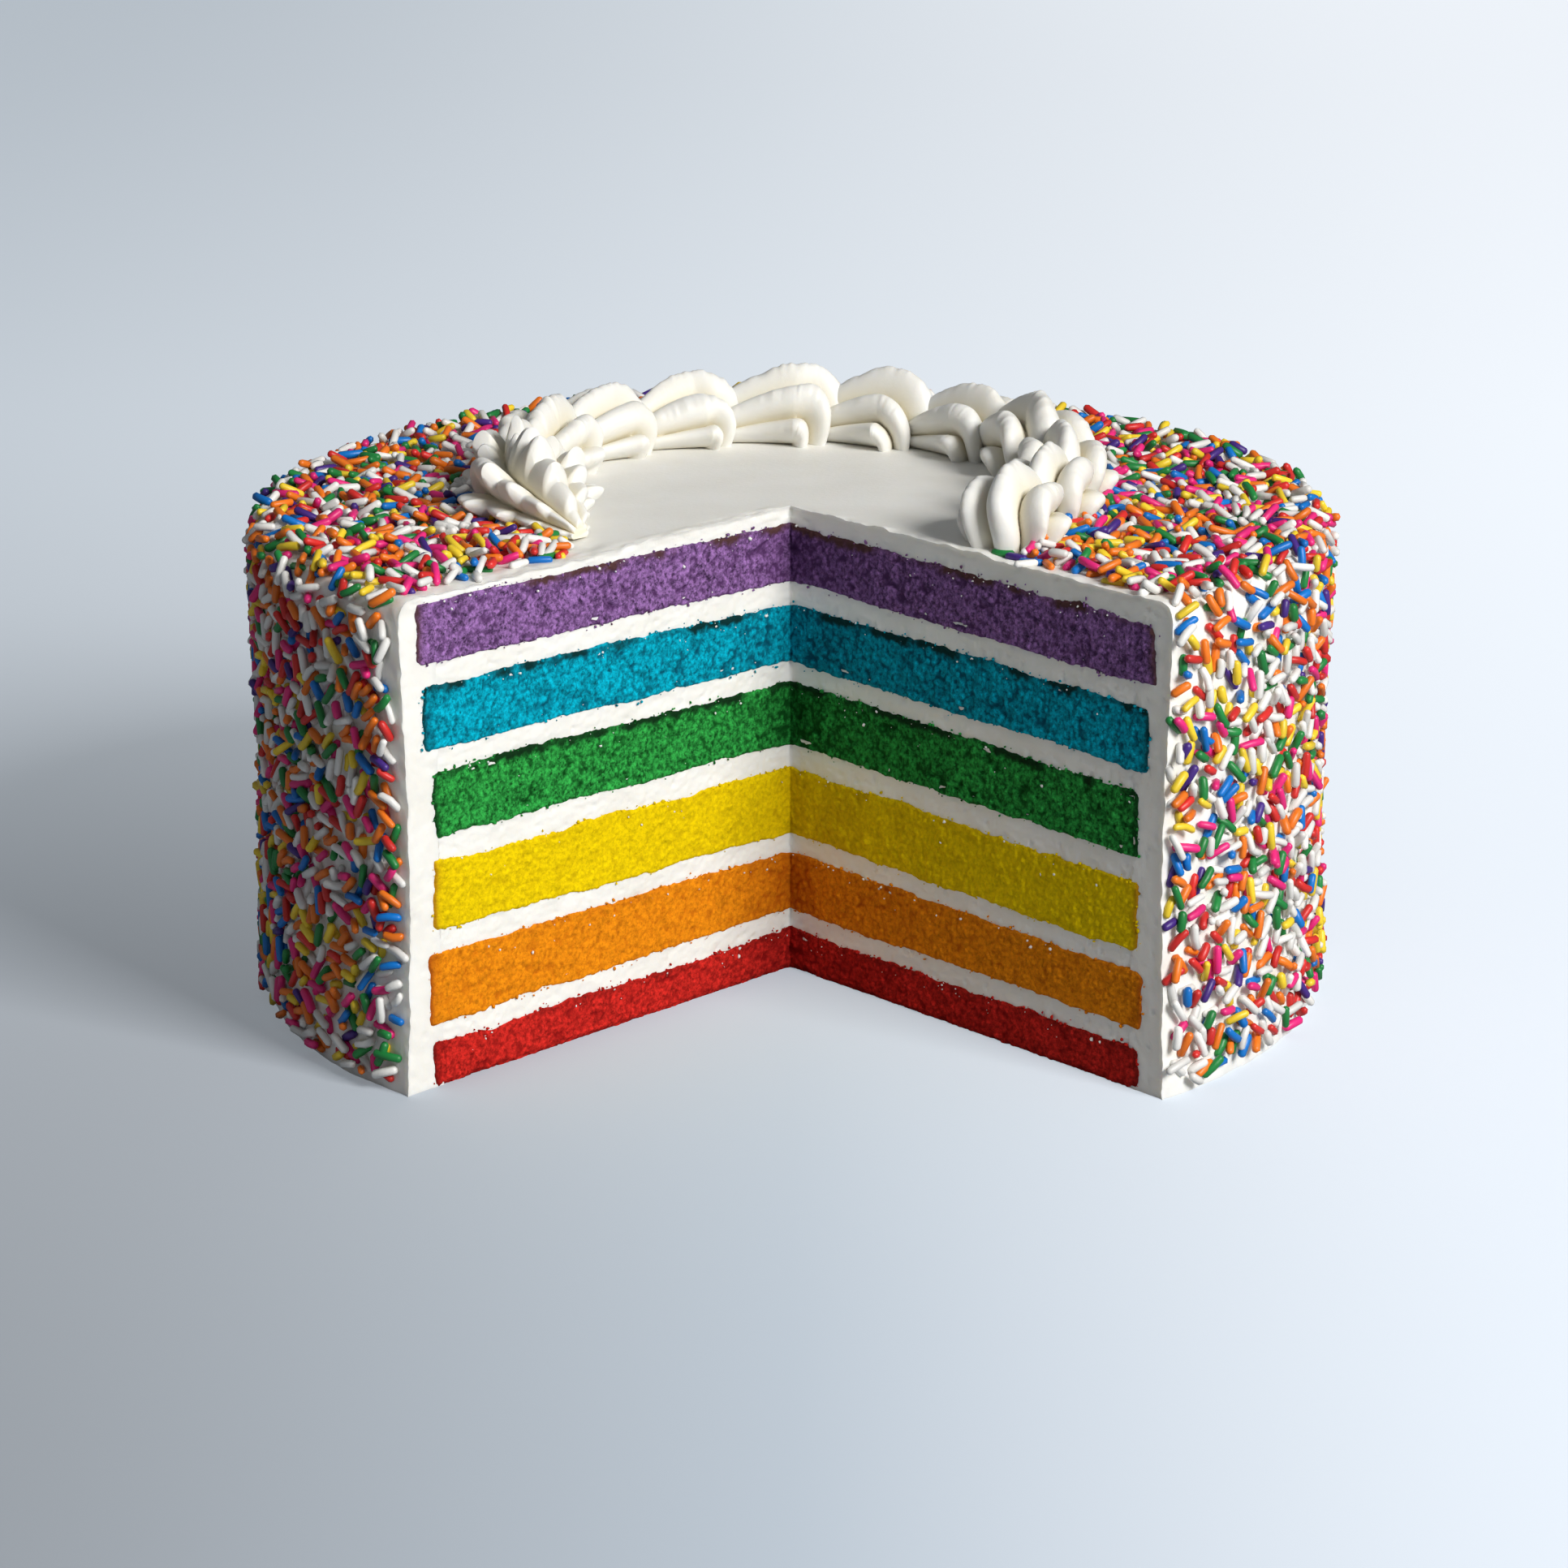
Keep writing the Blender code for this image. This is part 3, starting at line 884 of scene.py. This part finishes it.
# Each colour's name, its share of all the strands, and the colour itself
STRANDS = (
    ("white", 0.300, (0.80, 0.79, 0.76)),
    ("pink", 0.125, (0.80, 0.02, 0.20)),
    ("red", 0.105, (0.66, 0.025, 0.02)),
    ("orange", 0.135, (0.86, 0.19, 0.01)),
    ("yellow", 0.110, (0.88, 0.63, 0.03)),
    ("green", 0.100, (0.012, 0.22, 0.045)),
    ("blue", 0.085, (0.00, 0.17, 0.58)),
    ("purple", 0.045, (0.06, 0.02, 0.22)),
)
# Single strands near the ends of the line of shells: side of the cut, distance from the axis,
# distance from the cut, heading, and where their colour falls in the shares above
STRAYS = (
    (1, 66.5, 1.2, 1.2, 0.10),
    (1, 57.0, 4.4, 0.3, 0.83),
    (1, 61.0, 4.0, 0.1, 0.98),
    (1, 65.5, 3.6, 0.5, 0.90),
    (1, 70.0, 3.9, 2.6, 0.60),
    (-1, 63.5, 5.2, 0.2, 0.83),
    (-1, 60.0, 4.6, 0.5, 0.44),
    (-1, 66.0, 4.4, 2.5, 0.92),
    (-1, 72.0, 3.9, 0.1, 0.12),
    (-1, 84.0, 2.6, 1.0, 0.15),
)
STRAND_RADIUS = 0.86
STRAND_SIDES = 6
STRAND_LENGTHS = (3.6, 6.1)
STRAY_HALF = 2.5  # half the length of a single strand
STRAY_LEVEL = 0.55
CELL = 0.45  # spacing of the map that records how high the strands are piled
DROPS = 90000  # strands dropped; most are turned away
STRANDS_FROM = 46.0  # no strand lies nearer to the axis
CLEAR_OF_SHELLS = 6.0  # nor nearer to the middle of the line of shells
CLEAR_OF_FOOT = 1.2  # nor nearer to the coat's foot
TOP_END = RADIUS - 2.0  # the outline's distance at which the top becomes the side
PILED_ON_TOP = 2.2  # the highest that a strand may lie on others
PILED_ON_SIDE = 1.7
STEEPEST = 0.75  # the steepest slope of a strand
LEAST_BARE = 0.12  # the least share of bare coat under a strand
LENGTHWISE = np.array([-1.0, -0.66, -0.33, 0.0, 0.33, 0.66, 1.0])  # where a strand is felt for
SIDEWAYS = np.array([-0.55, 0.0, 0.55])


def strand_cover(along, azimuth):
    """How thickly the strands lie, from 0 to 1: thick on top and on the left, thinner on the right,
    none in the ring of shells or in the strips along the cut."""
    radius, height, _, _ = coat_profile(along)
    x = AXIS[0] + radius * math.cos(azimuth)
    y = AXIS[1] + radius * math.sin(azimuth)
    outside = off_line(x, y)
    from_right = azimuth - START
    from_left = START + SECTOR - azimuth
    if along < TOP_END:
        if outside < CLEAR_OF_SHELLS:
            return 0.0
        strip = 5.8 + 0.8 * math.sin(radius * 0.7) - 3.4 * smoothstep(78.0, 101.0, radius)
        nearest = min(radius * math.sin(min(from_right, 1.5)), radius * math.sin(min(from_left, 1.5)))
        return 0.0 if nearest < strip else 1.0
    if from_right < 0.012 or from_left * RADIUS < 3.2:
        return 0.0
    if height < CLEAR_OF_FOOT:
        return 0.0
    dense = smoothstep(2.0, 3.4, from_right)
    thinned = 1.0 - 0.75 * math.exp(-from_left * RADIUS / 5.0)
    return (0.30 + 0.70 * dense) * thinned


def strew(random):
    """Drops strands one after another: each takes a random place and direction, lies on the highest
    of what is under its two halves, and is kept only where it doesn't pile up too high."""
    rows = int(PROFILE_LENGTH / CELL) + 2
    columns = int(SECTOR * RADIUS / CELL) + 2
    piled = np.zeros((rows, columns))
    shortest, longest = STRAND_LENGTHS
    crown = np.sqrt(np.clip(STRAND_RADIUS**2 - SIDEWAYS**2, 0.0, None))
    kept = []
    for pick in random.random((DROPS, 6)):
        along = STRANDS_FROM + (PROFILE_LENGTH - STRANDS_FROM) * pick[0]
        azimuth = START + SECTOR * pick[1]
        radius = min(along, RADIUS)
        if pick[5] > radius / RADIUS * strand_cover(along, azimuth):
            continue
        half = (shortest + (longest - shortest) * pick[2]) / 2
        heading = math.pi * pick[3]
        step = half * LENGTHWISE
        p = along + np.add.outer(step * math.cos(heading), -SIDEWAYS * math.sin(heading))
        q = np.add.outer(step * math.sin(heading), SIDEWAYS * math.cos(heading)) / radius
        i = np.clip((p / CELL).astype(int), 0, rows - 1)
        j = np.clip(((azimuth - START + q) * RADIUS / CELL).astype(int), 0, columns - 1)
        under = piled[i, j].max(1)
        first = under[:4].max()
        second = under[3:].max()
        slope = (second - first) / (1.1 * half)
        level = (first + second) / 2
        level = max(level, (under - slope * step).max() - 0.25)
        bare = (piled[i, j] < 0.3).mean()
        limit = PILED_ON_TOP if along < TOP_END else PILED_ON_SIDE
        if level > limit or abs(slope) > STEEPEST or bare < LEAST_BARE:
            continue
        if p.max() > PROFILE_LENGTH - CLEAR_OF_FOOT:
            continue
        centre = level + slope * step
        raised = centre[:, None] + STRAND_RADIUS * 0.75 + crown[None, :]
        np.maximum.at(piled, (i, j), raised)
        kept.append((along, azimuth, heading, half, level + 0.45, slope, pick[4]))
    for side, radius, offset, heading, colour in STRAYS:
        azimuth = START + offset / radius if side > 0 else START + SECTOR - offset / radius
        kept.append((radius, azimuth, heading, STRAY_HALF, STRAY_LEVEL, 0.0, colour))
    return np.array(kept)


def strand_mesh(name, rows, random):
    """Bent capsules, all at once: rings round a centre line that bows sideways, each with a rounded
    cap whose radius follows a quarter circle."""
    along, azimuth, heading, half, level, slope, _ = rows.T
    lift = coat_lift(along, azimuth) + level
    centre = coat_point(along, azimuth, lift)
    _, _, radial, upward = coat_profile(along)
    normal = np.stack([radial * np.cos(azimuth), radial * np.sin(azimuth), upward], -1)
    down = np.stack([upward * np.cos(azimuth), upward * np.sin(azimuth), -radial], -1)
    across = np.stack([-np.sin(azimuth), np.cos(azimuth), np.zeros_like(azimuth)], -1)
    line = down * np.cos(heading)[:, None] + across * np.sin(heading)[:, None]
    line = line + normal * slope[:, None]
    line /= np.linalg.norm(line, axis=1)[:, None]
    sideways = np.cross(normal, line)
    sideways /= np.linalg.norm(sideways, axis=1)[:, None]
    over = np.cross(line, sideways)
    sides = STRAND_SIDES
    radius = STRAND_RADIUS * random.uniform(0.88, 1.10, len(rows))
    cap = np.radians([90.0, 52.0, 18.0])
    stations = np.concatenate([-np.sin(cap), [0.0], np.sin(cap[::-1])])
    girth = np.concatenate([np.cos(cap), [1.0], np.cos(cap[::-1])])
    straight = np.array([-1.0, -1.0, -1.0, 0.0, 1.0, 1.0, 1.0])
    reach = straight[None, :] * (half - radius)[:, None] + stations[None, :] * radius[:, None]
    bow = random.normal(0.0, 0.16, len(rows))[:, None] * (1 - (reach / half[:, None]) ** 2) * 1.4
    spine = (
        centre[:, None, :]
        + line[:, None, :] * reach[..., None]
        + sideways[:, None, :] * bow[..., None]
    )
    turn = 2 * math.pi * np.arange(sides) / sides
    ring = (
        sideways[:, None, None, :] * np.cos(turn)[None, None, :, None]
        + over[:, None, None, :] * np.sin(turn)[None, None, :, None]
    )
    thick = (girth[None, :] * radius[:, None])[..., None, None]
    rings = spine[:, :, None, :] + ring * thick
    inner = rings[:, 1:-1].reshape(len(rows), -1, 3)
    points = np.concatenate([spine[:, :1], inner, spine[:, -1:]], 1)
    each = points.shape[1]
    k = np.arange(sides)
    following = (k + 1) % sides
    first_cap = np.stack([np.zeros(sides, int), 1 + following, 1 + k], -1)
    last_ring = 1 + (len(stations) - 3) * sides
    last_cap = np.stack([np.full(sides, each - 1), last_ring + k, last_ring + following], -1)
    body = []
    for band in range(len(stations) - 3):
        low = 1 + band * sides
        body.append(np.stack([low + k, low + following, low + sides + following, low + sides + k], -1))
    body = np.concatenate(body)
    tris = np.concatenate([first_cap, last_cap])
    starts = np.arange(len(rows))[:, None, None] * each
    groups = [(tris[None] + starts).reshape(-1, 3), (body[None] + starts).reshape(-1, 4)]
    tone = np.repeat(random.random(len(rows)), each)
    mesh = make_mesh(name, points.reshape(-1, 3), groups, {"tone": tone})
    mesh.shade_smooth()
    return mesh


def add_strands():
    """All the strands, one piece for each colour."""
    random = np.random.default_rng(7)
    rows = strew(random)
    shares = np.array([share for _, share, _ in STRANDS])
    limits = np.concatenate([[0.0], np.cumsum(shares) / shares.sum()])
    for number, (name, _, colour) in enumerate(STRANDS):
        chosen = rows[(rows[:, 6] >= limits[number]) & (rows[:, 6] < limits[number + 1])]
        mesh = strand_mesh(f"strands_{name}", chosen, random)
        mesh.materials.append(strand_material(f"strand_{name}", colour))
        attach(link(f"strands_{name}", mesh), "root")


# -------------------- the room, in metres

BEND_FROM = 1.6  # how far back the floor bends up
BEND_RADIUS = 0.6
WALL_HEIGHT = 3.0
KEY_PLACE = (1.03, -1.10, 0.99)
KEY_AIM = (0.0, -0.01, 0.05)
KEY_SIZE = 0.6
KEY_POWER = 37.5
KEY_COLOUR = (1.0, 0.985, 0.96)
FILL_COLOUR = (0.92, 0.96, 1.0, 1.0)
FILL_STRENGTH = 0.20
CAMERA_ASIDE = -0.0013
CAMERA_BACK = 0.974
CAMERA_HEIGHT = 0.323
CAMERA_PITCH = math.radians(16.23)
CAMERA_LENS = 114.3
FLOOR_PAPER = (0.33, 0.36, 0.40)
FLOOR_NEAR = [(0.0, (0.0, 0.0, 0.0)), (0.5, (0.17, 0.21, 0.25)), (1.0, (0.50, 0.54, 0.59))]
FLOOR_FAR = [(0.0, (0.36, 0.40, 0.44)), (0.5, (0.55, 0.59, 0.63)), (1.0, (0.75, 0.78, 0.82))]


def add_room():
    """A pale floor that runs up into a backdrop in one sweep. It takes the light and the shadow as
    plain paper, and the camera sees a soft glow added to it: darker at the left and in front,
    lighter at the right and far away."""
    made, tree, shader = start_material("paper_sweep", 0.9, 0.1)
    shader.inputs["Base Color"].default_value = (*FLOOR_PAPER, 1.0)
    coordinates = node(tree, "ShaderNodeTexCoord")
    split = node(tree, "ShaderNodeSeparateXYZ")
    tree.links.new(coordinates.outputs["Object"], split.inputs["Vector"])

    def span(axis, low, high):
        made_span = node(tree, "ShaderNodeMapRange", interpolation_type="SMOOTHSTEP")
        made_span.inputs["From Min"].default_value = low
        made_span.inputs["From Max"].default_value = high
        tree.links.new(split.outputs[axis], made_span.inputs["Value"])
        return made_span.outputs["Result"]

    near = ramp(tree, span("X", -0.16, 0.16), FLOOR_NEAR)
    far = ramp(tree, span("X", -0.42, 0.42), FLOOR_FAR)
    glow = mixed(tree, span("Y", -0.45, 0.60), near, far)
    tree.links.new(glow, shader.inputs["Emission Color"])
    seen = node(tree, "ShaderNodeLightPath")
    tree.links.new(seen.outputs["Is Camera Ray"], shader.inputs["Emission Strength"])
    bend = np.radians([22, 45, 68, 90])
    flat = np.linspace(-2.2, BEND_FROM, 12)
    wall = [BEND_FROM + BEND_RADIUS] * 2
    depth = np.concatenate([flat, BEND_FROM + BEND_RADIUS * np.sin(bend), wall])
    curve = BEND_RADIUS - BEND_RADIUS * np.cos(bend)
    rise = np.concatenate([np.zeros_like(flat), curve, [WALL_HEIGHT - 1.4, WALL_HEIGHT]])
    across = np.linspace(-3.0, 3.0, 9)
    d, x = np.meshgrid(depth, across, indexing="ij")
    z = np.repeat(rise[:, None], len(across), 1)
    points = np.stack([x, d, z], -1).reshape(-1, 3) / MM
    mesh = make_mesh("sweep", points, [grid_faces(len(depth), len(across), flip=True)])
    mesh.materials.append(made)
    mesh.shade_smooth()
    link("sweep", mesh)


def add_light(name, place_at, aim, size, power, colour):
    """A square soft lamp that looks at a point."""
    lamp = bpy.data.lights.new(name, "AREA")
    lamp.shape = "SQUARE"
    lamp.size = size
    lamp.energy = power
    lamp.color = colour
    holder = link(name, lamp)
    holder.location = place_at
    direction = Vector(aim) - Vector(place_at)
    holder.rotation_euler = direction.to_track_quat("-Z", "Y").to_euler()


def add_world():
    """An even pale fill from all round."""
    world = bpy.data.worlds.new("soft_fill")
    world.use_nodes = True
    back = world.node_tree.nodes["Background"]
    back.inputs["Color"].default_value = FILL_COLOUR
    back.inputs["Strength"].default_value = FILL_STRENGTH
    bpy.context.scene.world = world


def add_camera():
    """The camera stands in front of the cut, a little above the top, and looks slightly down."""
    lens = bpy.data.cameras.new("camera")
    lens.lens = CAMERA_LENS
    lens.sensor_width = 36.0
    lens.clip_start = 0.05
    lens.clip_end = 20.0
    camera = link("camera", lens)
    camera.location = (CAMERA_ASIDE, AXIS[1] * MM - CAMERA_BACK, CAMERA_HEIGHT)
    camera.rotation_euler = (math.pi / 2 - CAMERA_PITCH, 0.0, 0.0)
    bpy.context.scene.camera = camera


# For each round: the crumb's colour, the painted shade colour of its pores and of the cut's apex, its
# baked crust, and how open the crumb is
SPONGE_LOOKS = {
    "sponge_red": ((0.60, 0.022, 0.016), (0.25, 0.006, 0.006), (0.16, 0.008, 0.006), 0.9),
    "sponge_orange": ((0.86, 0.27, 0.006), (0.40, 0.075, 0.002), (0.42, 0.09, 0.006), 0.5),
    "sponge_yellow": ((0.86, 0.62, 0.001), (0.42, 0.26, 0.001), (0.45, 0.20, 0.006), 0.36),
    "sponge_green": ((0.028, 0.32, 0.055), (0.003, 0.06, 0.008), (0.005, 0.03, 0.008), 1.5),
    "sponge_blue": ((0.001, 0.39, 0.54), (0.001, 0.08, 0.13), (0.003, 0.03, 0.03), 1.05),
    "sponge_violet": ((0.27, 0.133, 0.35), (0.08, 0.030, 0.105), (0.085, 0.038, 0.038), 1.45),
}


# Cut cream and piped cream: the colour, and the same in its yellower patches
CUT_CREAM = ((0.84, 0.83, 0.79), (0.80, 0.785, 0.735))
PIPED_CREAM = ((0.78, 0.775, 0.745), (0.76, 0.745, 0.69))


def main():
    """Builds every piece, the room, the light and the camera."""
    surfaces = {}
    for number, name in enumerate(SPONGES):
        surfaces[name] = crumb_material(name + "_crumb", *SPONGE_LOOKS[name])
        add_sponge(name, number, surfaces[name], SPONGE_LOOKS[name][-1])
    cream = cream_material("cut_buttercream", *CUT_CREAM, 0.5, 0.35)
    for number in range(1, len(FILLINGS) + 1):
        add_filling(f"filling_{number}", number, cream)
    add_coat(cream)
    add_crumbs(surfaces, cream)
    add_shells(cream_material("piped_buttercream", *PIPED_CREAM, 0.45, 0.3))
    add_strands()
    add_room()
    add_light("key", KEY_PLACE, KEY_AIM, KEY_SIZE, KEY_POWER, KEY_COLOUR)
    add_world()
    add_camera()
    bpy.context.scene.view_settings.view_transform = "Standard"


main()
